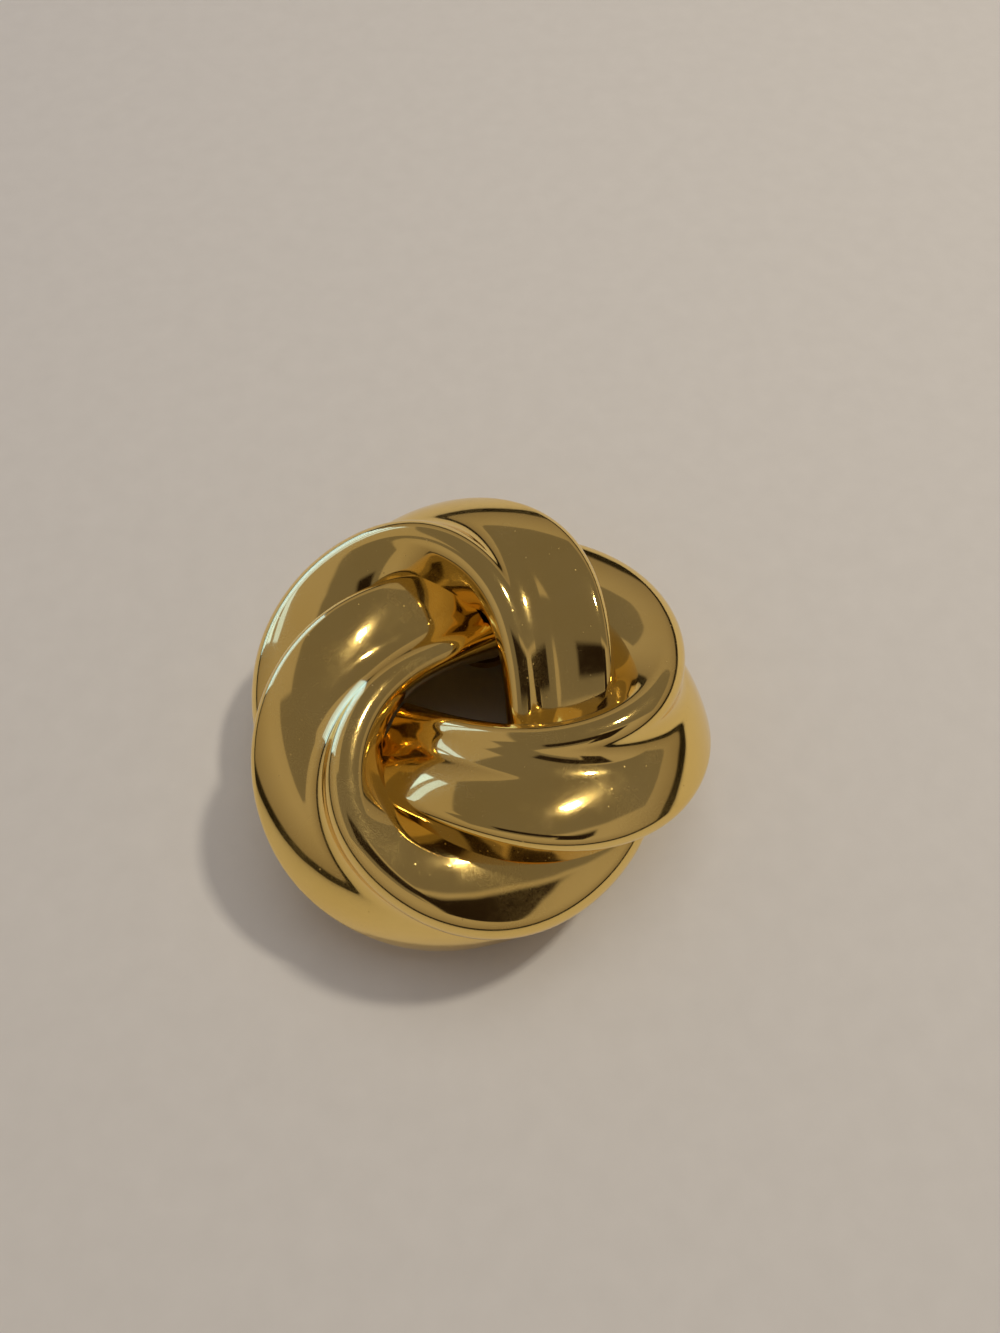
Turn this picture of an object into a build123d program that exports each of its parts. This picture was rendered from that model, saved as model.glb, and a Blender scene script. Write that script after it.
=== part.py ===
from build123d import *
import math
import os

# Gold-tone three-arm knot scarf clip, lying on its back. Millimetres and degrees.
# The back rests on z = 0, and +Y points to the wearer's up.

# The knot
KNOT_R = 18.3             # centre line of the narrow ridge from the knot's axis, at its widest
KNOT_HEIGHT = 17.1        # centre line of the narrow ridge above the back, at its highest
ARMS = 3                  # arms, evenly spaced round the axis
ARM_START = 285.0         # where the first arm starts, hidden under its neighbour
ARM_TURN = 334.0          # how far an arm winds round the axis, clockwise from the front

# The double-ridged section of an arm
NARROW_R = 2.15           # radius of the narrow ridge
VALLEY_R = 3.2            # radius of the valley between the ridges
CROWN_R = 10.7            # radius across the top of the broad ridge
SHOULDER_R = 1.55         # radius of the broad ridge's shoulder
SHOULDER_TURN = 78.0      # where the crown passes into the shoulder, from the line of centres
RIDGE_SPACING = 8.5       # narrow ridge's centre to shoulder's centre
OUTER_WALL = 4.8          # flat wall below the shoulder
OUTER_DRAFT = 0.0         # slope of the outer wall
INNER_WALL = 5.5          # full wall below the narrow ridge, round the curve
INNER_R = 14.0            # radius of that wall

# One row for each station along an arm, from the hidden start to the hidden end: turn is a share
# of ARM_TURN, radius of KNOT_R, height of KNOT_HEIGHT, spacing of RIDGE_SPACING, and girth of
# every radius and wall of the section. Roll turns the broad ridge down, from level outwards,
# and lean spreads the top of the inner wall away from the broad ridge.
COLUMNS = ("turn", "radius", "height", "roll", "spacing", "girth", "lean")
ARM_TABLE = (
    (0.000, 0.66, 0.58, 72, 0.98, 0.90, 20),
    (0.099, 0.72, 0.56, 58, 0.99, 0.96, 22),
    (0.211, 0.84, 0.52, 75, 1.00, 0.97, 24),
    (0.292, 0.95, 0.52, 91, 1.00, 0.95, 24),
    (0.371, 1.01, 0.60, 95, 1.00, 0.93, 22),
    (0.448, 0.97, 0.77, 77, 0.98, 0.90, 16),
    (0.530, 0.81, 0.95, 43, 0.93, 0.86, 8),
    (0.616, 0.53, 1.00, 5, 0.88, 0.82, 2),
    (0.760, 0.27, 0.90, -11, 0.82, 0.76, 0),
    (1.000, 0.36, 0.69, -3, 0.78, 0.72, 0),
)
SECTIONS = 19             # sections lofted along an arm
BACK_TRIM = 5.0           # more than the arms reach below the back, where they are cut flat

# The spring tongue behind the knot, and the room above it where the scarf is gripped
TONGUE_THICK = 1.2
TONGUE_WIDTH = 7.6
TONGUE_LIFT = 1.0         # tongue above the back
TONGUE_ANGLE = 255.0      # way the tongue points from its root, seen from the front
TIP_X = 1.7               # middle of the tongue's round tip, from the knot's axis
TIP_Y = 11.6
TONGUE_REACH = 6.2        # middle of the tip to the end of the root, inside the rim
SEAT_DEPTH = 2.6          # length of the root in its blind slot
SEAT_CLEARANCE = 0.15     # all round the root, and beside the tongue
GRIP_ROOM = 5.2           # height of the room above the tongue


def smooth(values):
    """Smooth curve through evenly spaced values, as a function of the share 0 to 1."""
    spans = len(values) - 1
    carry, right = [0.0], [0.0]
    for i in range(1, spans):
        pivot = 4 - carry[-1]
        turn = 6 * (values[i - 1] - 2 * values[i] + values[i + 1])
        carry.append(1 / pivot)
        right.append((turn - right[-1]) / pivot)
    bend = [0.0] * (spans + 1)
    for i in range(spans - 1, 0, -1):
        bend[i] = right[i] - carry[i] * bend[i + 1]

    def at(share):
        i = min(int(share * spans), spans - 1)
        b = share * spans - i
        a = 1 - b
        curl = ((a**3 - a) * bend[i] + (b**3 - b) * bend[i + 1]) / 6
        return a * values[i] + b * values[i + 1] + curl

    return at


def plan_points():
    """Narrow ridge's centre at each station, seen along the axis."""
    rows = [dict(zip(COLUMNS, row)) for row in ARM_TABLE]
    ways = [math.radians(ARM_START - ARM_TURN * row["turn"]) for row in rows]
    radii = [KNOT_R * row["radius"] for row in rows]
    return [(r * math.cos(way), r * math.sin(way)) for r, way in zip(radii, ways)]


ARM = {name: smooth(column) for name, column in zip(COLUMNS, zip(*ARM_TABLE))}
PLAN = [smooth(values) for values in zip(*plan_points())]


def ridge_point(share):
    """Narrow ridge's centre at a share of the arm, seen along the axis."""
    return Vector(*(at(share) for at in PLAN))


def on_circle(centre, radius, angle):
    return centre + Vector(radius * math.cos(angle), radius * math.sin(angle))


def direction(vector):
    return math.atan2(vector.Y, vector.X)


def outline(share):
    """Closed section of the arm in its own plane: narrow ridge at the origin, shoulder along X."""
    girth = ARM["girth"](share)
    narrow, valley, crown = (girth * r for r in (NARROW_R, VALLEY_R, CROWN_R))
    shoulder, inner = girth * SHOULDER_R, girth * INNER_R
    crest, out = math.radians(SHOULDER_TURN), math.radians(OUTER_DRAFT)
    brow = math.pi - math.radians(ARM["lean"](share))
    ridge = Vector(0, 0)
    edge = Vector(RIDGE_SPACING * ARM["spacing"](share), 0)
    top = on_circle(edge, shoulder - crown, crest)
    # The valley touches the narrow ridge and the crown from above.
    away = (top - ridge).length
    along = ((narrow + valley) ** 2 - (crown + valley) ** 2 + away**2) / (2 * away)
    across = math.sqrt((narrow + valley) ** 2 - along**2)
    line = (top - ridge) / away
    dip = ridge + line * along + Vector(-line.Y, line.X) * across
    from_ridge, from_top = direction(dip - ridge), direction(dip - top)

    def arc(centre, radius, start, end):
        return [on_circle(centre, radius, start + (end - start) * t) for t in (0, 0.5, 1)]

    ridge_arc = arc(ridge, narrow, brow, from_ridge)
    valley_arc = arc(dip, valley, from_ridge - math.pi, from_top - math.pi)
    crown_arc = arc(top, crown, from_top, crest)
    shoulder_arc = arc(edge, shoulder, crest, -out)
    outer_foot = shoulder_arc[-1] - Vector(math.sin(out), math.cos(out)) * (OUTER_WALL * girth)
    inner_arc = arc(on_circle(ridge, narrow - inner, brow), inner, brow + INNER_WALL / INNER_R, brow)
    return [
        ridge_arc,
        valley_arc,
        crown_arc,
        shoulder_arc,
        [shoulder_arc[-1], outer_foot],
        [outer_foot, inner_arc[0]],
        inner_arc,
    ]


def section(share):
    """The outline where the arm carries it: upright across its way, rolled, as a wire."""
    step = 1e-4
    way = ridge_point(share + step) - ridge_point(share - step)
    outward = Vector(-way.Y, way.X).normalized()
    centre = ridge_point(share) + Vector(0, 0, KNOT_HEIGHT * ARM["height"](share))
    roll = math.radians(ARM["roll"](share))
    level = outward * math.cos(roll) - Vector(0, 0, math.sin(roll))
    upright = outward * math.sin(roll) + Vector(0, 0, math.cos(roll))
    edges = []
    for points in outline(share):
        placed = [centre + level * p.X + upright * p.Y for p in points]
        edges.append(ThreePointArc(*placed) if len(placed) == 3 else Line(*placed))
    return Wire(edges)


def slab(reach, bottom, top, clearance=0.0):
    """Upright slab on the tongue's outline, from its round tip back to a reach."""
    width = TONGUE_WIDTH + 2 * clearance
    outline_face = Circle(width / 2) + Pos(-reach / 2) * Rectangle(reach, width)
    return Location((TIP_X, TIP_Y, bottom), (0, 0, TONGUE_ANGLE)) * extrude(outline_face, top - bottom)


def build_knot():
    arm = Solid.make_loft([section(i / (SECTIONS - 1)) for i in range(SECTIONS)])
    knot = arm.fuse(*[arm.rotate(Axis.Z, -360 / ARMS * i) for i in range(1, ARMS)])
    below = Box(4 * KNOT_R, 4 * KNOT_R, BACK_TRIM, align=(Align.CENTER, Align.CENTER, Align.MAX))
    gap, top = SEAT_CLEARANCE, TONGUE_LIFT + TONGUE_THICK
    seat = slab(TONGUE_REACH + gap, TONGUE_LIFT - gap, top + gap, gap)
    room = slab(TONGUE_REACH - SEAT_DEPTH, -BACK_TRIM, top + GRIP_ROOM, gap)
    return (knot - below - room - seat).solid()


def build_clip():
    return slab(TONGUE_REACH, TONGUE_LIFT, TONGUE_LIFT + TONGUE_THICK).solid()


if __name__ == "__main__":
    knot, clip = build_knot(), build_clip()
    # The two parts are moved together until the knot is centred over the origin.
    centre = knot.bounding_box().center()
    home = Pos(-centre.X, -centre.Y, 0)
    os.makedirs("parts", exist_ok=True)
    export_step(home * knot, "parts/knot.step")
    export_step(home * clip, "parts/back_clip.step")
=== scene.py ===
import math

import bmesh
import bpy
import numpy as np
from mathutils import Matrix, Vector


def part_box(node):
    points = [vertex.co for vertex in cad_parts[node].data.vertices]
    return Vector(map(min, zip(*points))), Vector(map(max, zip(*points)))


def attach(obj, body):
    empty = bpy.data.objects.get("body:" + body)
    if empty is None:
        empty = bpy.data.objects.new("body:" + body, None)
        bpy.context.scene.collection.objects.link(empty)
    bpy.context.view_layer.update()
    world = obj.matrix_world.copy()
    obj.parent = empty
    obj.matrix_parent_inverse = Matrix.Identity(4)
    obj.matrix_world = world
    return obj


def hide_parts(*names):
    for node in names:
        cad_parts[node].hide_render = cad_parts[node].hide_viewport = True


# A polished gold knot scarf clip, lying on a pale floor. The knot's three arms are made here in a
# finer mesh than the solid's. The tongue behind them keeps its CAD mesh.

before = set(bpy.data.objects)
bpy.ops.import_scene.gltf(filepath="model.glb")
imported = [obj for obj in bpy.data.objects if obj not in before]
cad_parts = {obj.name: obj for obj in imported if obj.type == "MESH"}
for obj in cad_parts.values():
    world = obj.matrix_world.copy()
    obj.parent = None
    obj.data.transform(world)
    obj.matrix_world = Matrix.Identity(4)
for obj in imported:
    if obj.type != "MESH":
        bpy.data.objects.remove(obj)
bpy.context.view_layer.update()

MM = 0.001

# ---- the knot's form, with the same sizes as its source, in millimetres and degrees
KNOT_R, KNOT_HEIGHT, ARMS = 18.3, 17.1, 3
ARM_START, ARM_TURN = 285.0, 334.0
NARROW_R, VALLEY_R, CROWN_R, SHOULDER_R = 2.15, 3.2, 10.7, 1.55
SHOULDER_TURN, RIDGE_SPACING = 78.0, 8.5
OUTER_WALL, OUTER_DRAFT, INNER_WALL, INNER_R = 4.8, 0.0, 5.5, 14.0
COLUMNS = ("turn", "radius", "height", "roll", "spacing", "girth", "lean")
ARM_TABLE = (
    (0.000, 0.66, 0.58, 72, 0.98, 0.90, 20),
    (0.099, 0.72, 0.56, 58, 0.99, 0.96, 22),
    (0.211, 0.84, 0.52, 75, 1.00, 0.97, 24),
    (0.292, 0.95, 0.52, 91, 1.00, 0.95, 24),
    (0.371, 1.01, 0.60, 95, 1.00, 0.93, 22),
    (0.448, 0.97, 0.77, 77, 0.98, 0.90, 16),
    (0.530, 0.81, 0.95, 43, 0.93, 0.86, 8),
    (0.616, 0.53, 1.00, 5, 0.88, 0.82, 2),
    (0.760, 0.27, 0.90, -11, 0.82, 0.76, 0),
    (1.000, 0.36, 0.69, -3, 0.78, 0.72, 0),
)
TONGUE_THICK, TONGUE_WIDTH, TONGUE_LIFT, TONGUE_ANGLE = 1.2, 7.6, 1.0, 255.0
TIP_X, TIP_Y, TONGUE_REACH = 1.7, 11.6, 6.2
SEAT_DEPTH, SEAT_CLEARANCE, GRIP_ROOM = 2.6, 0.15, 5.2

# ---- how fine the mesh is
ALONG = 300                              # rings along an arm
STEPS = (26, 12, 22, 22, 3, 3, 16)       # divisions of the section's seven edges
WAY_STEP = 1e-4                          # share of the arm that its direction is measured over
TIP_STEPS = 33                           # points round the tongue's tip
BELOW = 3.0                              # how far the cutter of the room reaches below the back
CUT_TOLERANCE = 1e-8


def unit(angle):
    return np.array([math.cos(angle), math.sin(angle)])


def smooth(values):
    """Natural cubic curve through evenly spaced values."""
    spans = len(values) - 1
    carry, right = [0.0], [0.0]
    for i in range(1, spans):
        pivot = 4 - carry[-1]
        turn = 6 * (values[i - 1] - 2 * values[i] + values[i + 1])
        carry.append(1 / pivot)
        right.append((turn - right[-1]) / pivot)
    bend = [0.0] * (spans + 1)
    for i in range(spans - 1, 0, -1):
        bend[i] = right[i] - carry[i] * bend[i + 1]
    bend, values = np.array(bend), np.array(values, float)

    def at(share):
        i = np.minimum((share * spans).astype(int), spans - 1)
        b = share * spans - i
        a = 1 - b
        curl = ((a**3 - a) * bend[i] + (b**3 - b) * bend[i + 1]) / 6
        return a * values[i] + b * values[i + 1] + curl

    return at


def section(spacing, girth, lean):
    """The closed section in its own plane, narrow ridge at the origin, shoulder along X."""
    narrow, valley, crown, shoulder, inner = (
        girth * r for r in (NARROW_R, VALLEY_R, CROWN_R, SHOULDER_R, INNER_R)
    )
    crest, outer = math.radians(SHOULDER_TURN), math.radians(OUTER_DRAFT)
    brow = math.pi - math.radians(lean)
    foot = brow + INNER_WALL / INNER_R
    ridge, edge = np.zeros(2), np.array([RIDGE_SPACING * spacing, 0.0])
    top = edge + (shoulder - crown) * unit(crest)
    # The valley touches the narrow ridge and the crown from above.
    away = np.linalg.norm(top)
    along = ((narrow + valley) ** 2 - (crown + valley) ** 2 + away**2) / (2 * away)
    across = math.sqrt((narrow + valley) ** 2 - along**2)
    line = top / away
    dip = line * along + np.array([-line[1], line[0]]) * across
    from_ridge = math.atan2(dip[1], dip[0])
    from_top = math.atan2(dip[1] - top[1], dip[0] - top[0])
    outer_brow = edge + shoulder * unit(-outer)
    outer_foot = outer_brow - np.array([math.sin(outer), math.cos(outer)]) * OUTER_WALL * girth
    inner_middle = (narrow - inner) * unit(brow)
    inner_foot = inner_middle + inner * unit(foot)

    def arc(middle, radius, start, end, steps):
        t = start + (end - start) * np.arange(steps) / steps
        return middle + radius * np.stack([np.cos(t), np.sin(t)], -1)

    def straight(a, b, steps):
        t = (np.arange(steps) / steps)[:, None]
        return a * (1 - t) + b * t

    return np.concatenate([
        arc(ridge, narrow, brow, from_ridge, STEPS[0]),
        arc(dip, valley, from_ridge - math.pi, from_top - math.pi, STEPS[1]),
        arc(top, crown, from_top, crest, STEPS[2]),
        arc(edge, shoulder, crest, -outer, STEPS[3]),
        straight(outer_brow, outer_foot, STEPS[4]),
        straight(outer_foot, inner_foot, STEPS[5]),
        arc(inner_middle, inner, foot, brow, STEPS[6]),
    ])


def arm_rings():
    """Every ring of the first arm as an array of points, in millimetres."""
    share = np.linspace(0, 1, ALONG)
    table = {name: smooth(column) for name, column in zip(COLUMNS, zip(*ARM_TABLE))}
    turn = [math.radians(ARM_START - ARM_TURN * row[0]) for row in ARM_TABLE]
    reach = [KNOT_R * row[1] for row in ARM_TABLE]
    plan_x = smooth([r * math.cos(t) for r, t in zip(reach, turn)])
    plan_y = smooth([r * math.sin(t) for r, t in zip(reach, turn)])
    centre = np.stack([plan_x(share), plan_y(share), KNOT_HEIGHT * table["height"](share)], -1)
    ahead, behind = np.clip(share + WAY_STEP, 0, 1), np.clip(share - WAY_STEP, 0, 1)
    way = np.stack([plan_x(ahead) - plan_x(behind), plan_y(ahead) - plan_y(behind)], -1)
    way /= np.linalg.norm(way, axis=1, keepdims=True)
    out, up = np.stack([-way[:, 1], way[:, 0], np.zeros(ALONG)], -1), np.array([0.0, 0.0, 1.0])
    roll = np.radians(table["roll"](share))[:, None]
    level = out * np.cos(roll) - up * np.sin(roll)
    upright = out * np.sin(roll) + up * np.cos(roll)
    rings = []
    for i, sizes in enumerate(zip(*(table[name](share) for name in ("spacing", "girth", "lean")))):
        flat = section(*(float(size) for size in sizes))
        rings.append(centre[i] + flat[:, :1] * level[i] + flat[:, 1:] * upright[i])
    return np.array(rings)


def add_object(bm, name):
    """Put a finished bmesh into the scene as an object."""
    mesh = bpy.data.meshes.new(name)
    bm.to_mesh(mesh)
    bm.free()
    obj = bpy.data.objects.new(name, mesh)
    bpy.context.scene.collection.objects.link(obj)
    return obj


def arm_mesh(rings, name):
    """One arm as a closed mesh, cut flat at the back, with its corners sharp."""
    count, around = rings.shape[:2]
    bm = bmesh.new()
    verts = [[bm.verts.new(p * MM) for p in ring] for ring in rings]
    for i in range(count - 1):
        for j in range(around):
            k = (j + 1) % around
            side = (verts[i][j], verts[i + 1][j], verts[i + 1][k], verts[i][k])
            bm.faces.new(side).smooth = True
    bm.faces.new(verts[0])
    bm.faces.new(verts[-1][::-1])
    # The section's two feet and the arm's two ends are the sharp corners.
    for i in range(count - 1):
        for j in (sum(STEPS[:5]), sum(STEPS[:6])):
            bm.edges.get((verts[i][j], verts[i + 1][j])).smooth = False
    for ring in (verts[0], verts[-1]):
        for j in range(around):
            bm.edges.get((ring[j], ring[(j + 1) % around])).smooth = False
    bmesh.ops.recalc_face_normals(bm, faces=bm.faces)
    bmesh.ops.bisect_plane(
        bm, geom=bm.verts[:] + bm.edges[:] + bm.faces[:], dist=CUT_TOLERANCE,
        plane_co=(0, 0, 0), plane_no=(0, 0, 1), clear_inner=True,
    )
    rim = [edge for edge in bm.edges if len(edge.link_faces) == 1]
    for face in bmesh.ops.holes_fill(bm, edges=rim, sides=0)["faces"]:
        face.smooth = False
    for edge in rim:
        if edge.is_valid:
            edge.smooth = False
    return add_object(bm, name)


def slab(reach, bottom, top):
    """Upright slab on the tongue's outline with its clearance, as an object that cuts."""
    half = TONGUE_WIDTH / 2 + SEAT_CLEARANCE
    turns = np.linspace(-math.pi / 2, math.pi / 2, TIP_STEPS)
    outline = [(half * math.cos(a), half * math.sin(a)) for a in turns]
    outline += [(-reach, half), (-reach, -half)]
    turn = math.radians(TONGUE_ANGLE)
    bm = bmesh.new()
    low = []
    for along, across in outline:
        x = TIP_X + along * math.cos(turn) - across * math.sin(turn)
        y = TIP_Y + along * math.sin(turn) + across * math.cos(turn)
        low.append(bm.verts.new((x * MM, y * MM, bottom * MM)))
    raised = bmesh.ops.extrude_face_region(bm, geom=[bm.faces.new(low)])["geom"]
    moved = [v for v in raised if isinstance(v, bmesh.types.BMVert)]
    bmesh.ops.translate(bm, verts=moved, vec=(0, 0, (top - bottom) * MM))
    bmesh.ops.recalc_face_normals(bm, faces=bm.faces)
    return add_object(bm, "cutter")


def carve(obj, cutter):
    step = obj.modifiers.new("carve", "BOOLEAN")
    step.operation, step.solver, step.object = "DIFFERENCE", "EXACT", cutter
    depsgraph = bpy.context.evaluated_depsgraph_get()
    done = bpy.data.meshes.new_from_object(obj.evaluated_get(depsgraph))
    obj.modifiers.clear()
    obj.data = done


# The arms are built round the knot's axis, then moved where the frame's knot is.
first = arm_rings()
arms = []
for i in range(ARMS):
    turn = -2 * math.pi / ARMS * i
    c, s = math.cos(turn), math.sin(turn)
    arms.append(first @ np.array([[c, -s, 0], [s, c, 0], [0, 0, 1]]).T)
points = np.concatenate([arm.reshape(-1, 3) for arm in arms]) * MM
points = points[points[:, 2] > 0]
low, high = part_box("knot")
shift = [(low[k] + high[k]) / 2 - (points[:, k].min() + points[:, k].max()) / 2 for k in range(2)]
home = Vector(shift + [0.0])

tongue_top = TONGUE_LIFT + TONGUE_THICK
cutters = (
    slab(TONGUE_REACH + SEAT_CLEARANCE, TONGUE_LIFT - SEAT_CLEARANCE, tongue_top + SEAT_CLEARANCE),
    slab(TONGUE_REACH - SEAT_DEPTH, -BELOW, tongue_top + GRIP_ROOM),
)
pieces = []
for i, rings in enumerate(arms):
    piece = arm_mesh(rings, f"knot_arm_{i + 1}")
    for cutter in cutters:
        carve(piece, cutter)
    piece.data.transform(Matrix.Translation(home))
    pieces.append(piece)
for cutter in cutters:
    bpy.data.objects.remove(cutter)


# ---- materials
class Tree:
    """The nodes of a material or world, with a short call for each kind in use."""

    def __init__(self, owner):
        owner.use_nodes = True
        self.nodes, self.links = owner.node_tree.nodes, owner.node_tree.links

    def give(self, socket, value):
        """Set a socket to a value, or join it to another node's socket."""
        if isinstance(value, bpy.types.NodeSocket):
            self.links.new(value, socket)
        else:
            socket.default_value = value

    def add(self, kind, **inputs):
        node = self.nodes.new(kind)
        for name, value in inputs.items():
            self.give(node.inputs[name], value)
        return node

    def maths(self, kind, *values):
        node = self.nodes.new("ShaderNodeMath")
        node.operation = kind
        for socket, value in zip(node.inputs, values):
            self.give(socket, value)
        return node.outputs["Value"]

    def ramp(self, source, *stops):
        """Each stop is a place from 0 to 1 and the grey or colour there."""
        node = self.add("ShaderNodeValToRGB", Fac=source)
        elements = node.color_ramp.elements
        while len(elements) < len(stops):
            elements.new(0.5)
        for element, (at, value) in zip(elements, stops):
            colour = value if isinstance(value, tuple) else (value,) * 3
            element.position, element.color = at, (*colour, 1)
        return node.outputs["Color"]

    def noise(self, source, scale, detail, rough=0.5):
        node = self.add(
            "ShaderNodeTexNoise", Vector=source, Scale=scale, Detail=detail, Roughness=rough
        )
        return node.outputs["Fac"]

    def stretch(self, source, scale, turn):
        node = self.add("ShaderNodeMapping", Vector=source, Scale=scale, Rotation=turn)
        return node.outputs["Vector"]

    def blend(self, share, first, second):
        """A colour that goes from the first to the second with the share."""
        node = self.nodes.new("ShaderNodeMix")
        node.data_type = "RGBA"
        for name, value in (("Factor", share), ("A", first), ("B", second)):
            self.give(node.inputs[name], value)
        return node.outputs["Result"]


HAIR_SHARE, SPECK_ROUGH, SPECK_HEIGHT = 0.6, 0.4, 0.04     # of haze, roughness, of the ripple
RIPPLE_STRENGTH, RIPPLE_DEPTH = 0.10, 0.0003               # bump strength, metres


def gold(name, base, deep, rough, haze):
    """Polished plating: soft colour drift, hazy handled patches, hair scratches and specks."""
    mat = bpy.data.materials.new(name)
    tree = Tree(mat)
    maths, ramp, noise = tree.maths, tree.ramp, tree.noise
    shader = tree.nodes["Principled BSDF"]
    shader.inputs["Metallic"].default_value = 1.0
    place = tree.add("ShaderNodeTexCoord").outputs["Object"]
    tree.give(shader.inputs["Base Color"], ramp(noise(place, 110, 3), (0.35, base), (0.7, deep)))

    patches = ramp(noise(place, 130, 4, 0.6), (0.44, 0.25), (0.68, 1.0))
    grain = ramp(noise(place, 45000, 0), (0.61, 0.0), (0.67, 1.0))
    one_way = noise(tree.stretch(place, (1, 26, 1), (0.3, 0.2, 0.6)), 700, 5, 0.7)
    other_way = noise(tree.stretch(place, (28, 1, 1), (0.1, 0.5, 0.2)), 650, 5, 0.7)
    hairs = maths(
        "MAXIMUM",
        ramp(one_way, (0.64, 0.0), (0.72, 1.0)),
        ramp(other_way, (0.65, 0.0), (0.73, 1.0)),
    )
    dust = tree.add("ShaderNodeTexVoronoi", Vector=place, Scale=850)
    specks = ramp(dust.outputs["Distance"], (0.035, 1.0), (0.085, 0.0))
    hazy = maths("MULTIPLY", maths("MULTIPLY", patches, grain), haze)
    scratched = maths("MULTIPLY", hairs, haze * HAIR_SHARE)
    worn = maths("ADD", scratched, maths("MULTIPLY", specks, SPECK_ROUGH))
    tree.give(shader.inputs["Roughness"], maths("ADD", maths("ADD", hazy, worn), rough))

    height = maths("ADD", noise(place, 240, 1), maths("MULTIPLY", specks, SPECK_HEIGHT))
    bump = tree.add(
        "ShaderNodeBump", Strength=RIPPLE_STRENGTH, Distance=RIPPLE_DEPTH, Height=height
    )
    tree.give(shader.inputs["Normal"], bump.outputs["Normal"])
    return mat


def dress(obj, mat):
    obj.data.materials.clear()
    obj.data.materials.append(mat)


gold_plate = gold("polished gold", (0.93, 0.68, 0.23), (0.89, 0.63, 0.19), rough=0.045, haze=0.34)
# The tongue is the knot's gold, given a darker, browner base colour as painted shade for the shade
# it lies in under the knot.
clip_gold_with_painted_shade = gold("clip gold with painted shade", (0.62, 0.42, 0.19), (0.54, 0.35, 0.14), rough=0.20, haze=0.20)

for piece in pieces:
    dress(piece, gold_plate)
    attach(piece, "root")
    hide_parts("knot")
dress(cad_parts["back_clip"], clip_gold_with_painted_shade)


# ---- floor, light and camera
FLOOR_SIZE, FLOOR_DROP = 3.0, 0.00005        # metres; the drop keeps it clear of the back
FLOOR_TONES = ((0.0, (0.74, 0.72, 0.69)), (1.0, (0.80, 0.78, 0.75)))
BACKDROP = (0.55, 0.54, 0.52)                # what the camera sees behind the floor
CEILING, DARK = (0.170, 0.150, 0.143), (0.016, 0.010, 0.008)
# The room's colours by the sine of the height above the floor
WALL = (
    (0.00, (0.012, 0.010, 0.008)),
    (0.10, (0.020, 0.016, 0.012)),
    (0.14, (0.24, 0.20, 0.17)),
    (0.55, (0.36, 0.31, 0.27)),
    (1.00, (0.36, 0.31, 0.27)),
)
# What hangs overhead, each over the one before: its sides as slopes along X and along Y, how
# soft its edge is and its colour. The dim ceiling is in two parts, and so is the dark area.
PATCHES = (
    ((-0.60, 2.4), (-0.24, 1.8), 0.05, CEILING),
    ((-0.95, 0.40), (-0.85, 0.13), 0.05, CEILING),
    ((-0.34, 0.50), (-0.66, -0.27), 0.07, DARK),
    ((0.40, 1.00), (-1.10, -0.27), 0.07, DARK),
)
# The window is four panes: their heights in degrees, and their power.
WINDOW_WAY, PANES = 138, ((6, 0.30), (14, 0.30), (22, 0.22), (30, 0.14))


def floor():
    bpy.ops.mesh.primitive_plane_add(size=FLOOR_SIZE, location=(0, 0, -FLOOR_DROP))
    plane = bpy.context.object
    plane.name = "floor"
    mat = bpy.data.materials.new("pale floor")
    tree = Tree(mat)
    shader = tree.nodes["Principled BSDF"]
    shader.inputs["Roughness"].default_value = 0.85
    place = tree.add("ShaderNodeTexCoord").outputs["Object"]
    tree.give(shader.inputs["Base Color"], tree.ramp(tree.noise(place, 350, 4), *FLOOR_TONES))
    plane.data.materials.append(mat)


def studio():
    """A plain room seen only in reflections: a dim ceiling, lighter walls, a dark skirting and
    the dark of the room behind the camera."""
    world = bpy.data.worlds.new("studio")
    bpy.context.scene.world = world
    tree = Tree(world)
    maths = tree.maths
    place = tree.add("ShaderNodeTexCoord").outputs["Generated"]
    way = tree.add("ShaderNodeSeparateXYZ", Vector=place).outputs
    height = maths("MAXIMUM", way["Z"], 0.001)
    slopes = [maths("DIVIDE", way[axis], height) for axis in "XY"]

    def inside(sides, soft):
        """How far a direction lies inside a rectangle overhead, 0 to 1."""
        share = 1.0
        for slope, (low_side, high_side) in zip(slopes, sides):
            off = maths("ABSOLUTE", maths("SUBTRACT", slope, (low_side + high_side) / 2))
            edge = maths("DIVIDE", maths("SUBTRACT", (high_side - low_side) / 2, off), soft)
            share = maths("MULTIPLY", share, maths("MINIMUM", maths("MAXIMUM", edge, 0.0), 1.0))
        return share

    room = tree.ramp(way["Z"], *WALL)
    for side_x, side_y, soft, colour in PATCHES:
        room = tree.blend(inside((side_x, side_y), soft), room, (*colour, 1))
    camera_ray = tree.add("ShaderNodeLightPath").outputs["Is Camera Ray"]
    seen = tree.blend(camera_ray, room, (*BACKDROP, 1))
    tree.give(tree.nodes["Background"].inputs["Color"], seen)


def area(name, way, far, size, power, colour):
    """A soft box that shines at the clip from a direction."""
    light = bpy.data.lights.new(name, "AREA")
    light.shape, light.size, light.size_y = "RECTANGLE", size[0], size[1]
    light.energy, light.color = power, colour
    lamp = bpy.data.objects.new(name, light)
    way = Vector(way).normalized()
    lamp.location = way * far
    lamp.rotation_euler = way.to_track_quat("Z", "Y").to_euler()
    bpy.context.scene.collection.objects.link(lamp)
    return lamp


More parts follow.
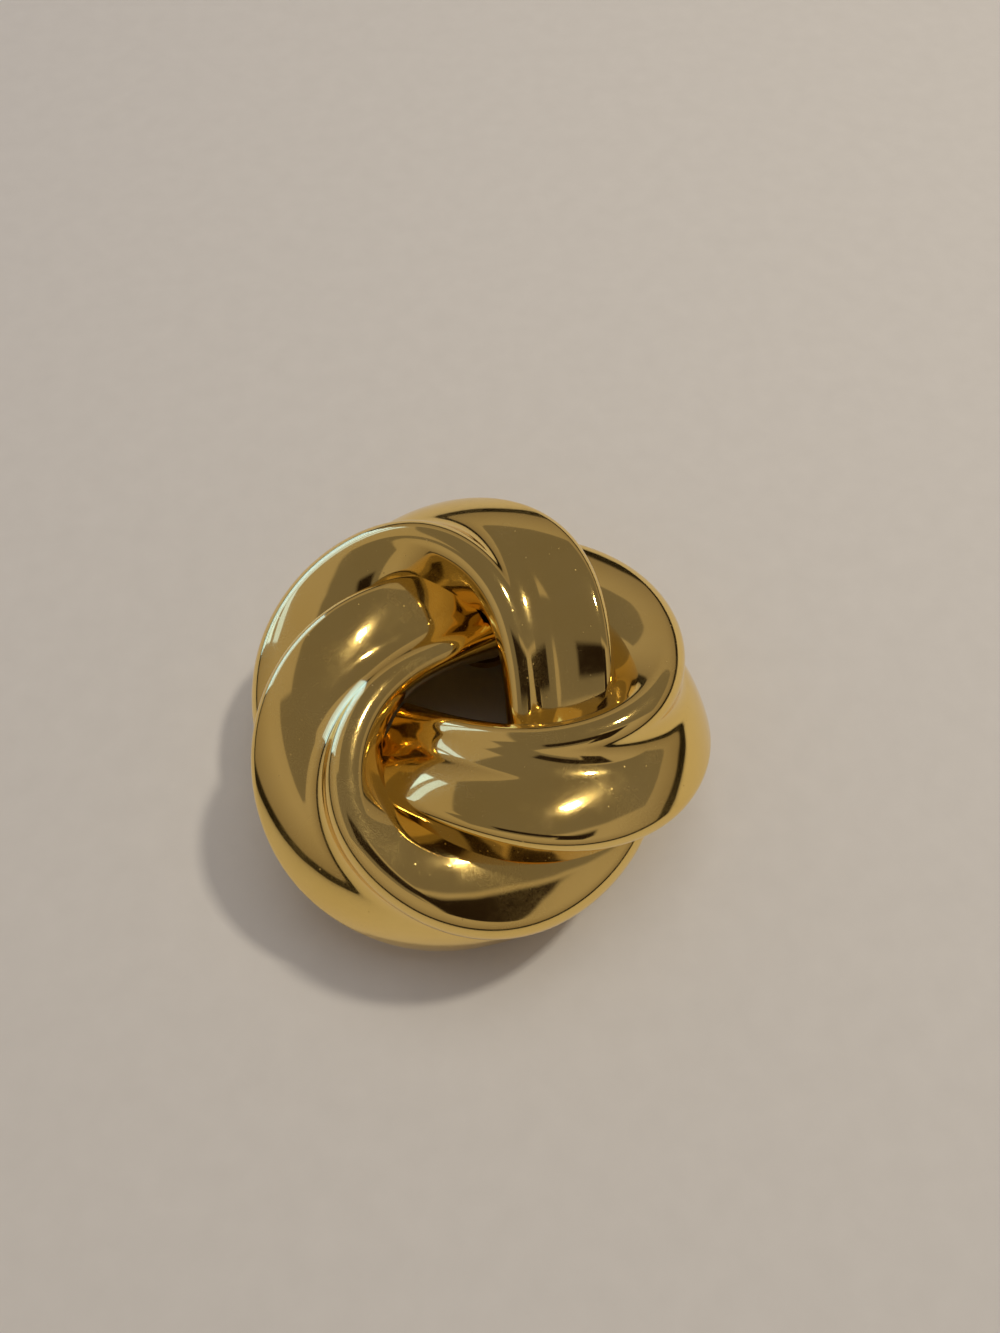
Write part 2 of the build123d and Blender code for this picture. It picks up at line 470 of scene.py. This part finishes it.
def lights():
    """Lamp, window and fill. The window shows in the gold and leaves the floor alone, and the
    fill does the reverse."""
    area("lamp", (0.43, 0.23, 0.87), 0.50, (0.035, 0.035), 0.7, (1.0, 0.90, 0.74))
    turn = math.radians(WINDOW_WAY)
    for height, power in PANES:
        rise = math.radians(height)
        way = (math.cos(rise) * math.cos(turn), math.cos(rise) * math.sin(turn), math.sin(rise))
        pane = area(f"window {height}", way, 0.60, (0.44, 0.055), power, (0.20, 0.39, 1.0))
        pane.visible_diffuse = False
    fill = area("fill", (0.1, 0.3, 1.0), 1.20, (0.8, 0.8), 3.0, (1.0, 0.98, 0.95))
    fill.visible_glossy = False


# The camera stands where the photograph was taken from: its distance, height and aim were
# worked out from the knot's outline. Distances are from a point on the knot's axis.
ELEVATION, DISTANCE, ROLL, FOCAL_PX = 68.3, 80.5, -3.9, 905.7
AIM_HEIGHT, AIM_X, AIM_Y = 11.5, 469.8, 699.5     # point on the axis, and its pixel
WIDTH, HEIGHT = 1000, 1333
SENSOR_WIDTH, CLIP_START = 36.0, 0.005            # millimetres, metres


def photo_camera():
    def turned(u, v, angle):
        c, s = math.cos(angle), math.sin(angle)
        return u * c - v * s, v * c + u * s

    rise = math.radians(ELEVATION)
    towards, right = Vector((0, -math.cos(rise), math.sin(rise))), Vector((1, 0, 0))
    eye = Vector((0, 0, AIM_HEIGHT)) + towards * DISTANCE
    ahead, upward = -towards, towards.cross(right)
    ahead, right = turned(ahead, right, math.atan((AIM_X - WIDTH / 2) / FOCAL_PX))
    ahead, upward = turned(ahead, upward, math.atan(-(AIM_Y - HEIGHT / 2) / FOCAL_PX))
    upward, right = turned(upward, right, math.radians(ROLL))
    data = bpy.data.cameras.new("camera")
    data.sensor_fit, data.sensor_width = "HORIZONTAL", SENSOR_WIDTH
    data.lens = SENSOR_WIDTH * FOCAL_PX / WIDTH
    data.clip_start = CLIP_START
    camera = bpy.data.objects.new("camera", data)
    axes = Matrix((right, upward, -ahead)).transposed().to_4x4()
    camera.matrix_world = Matrix.Translation(eye * MM + home) @ axes
    bpy.context.scene.collection.objects.link(camera)
    bpy.context.scene.camera = camera


floor()
studio()
lights()
bpy.context.scene.view_settings.view_transform = "Standard"
photo_camera()
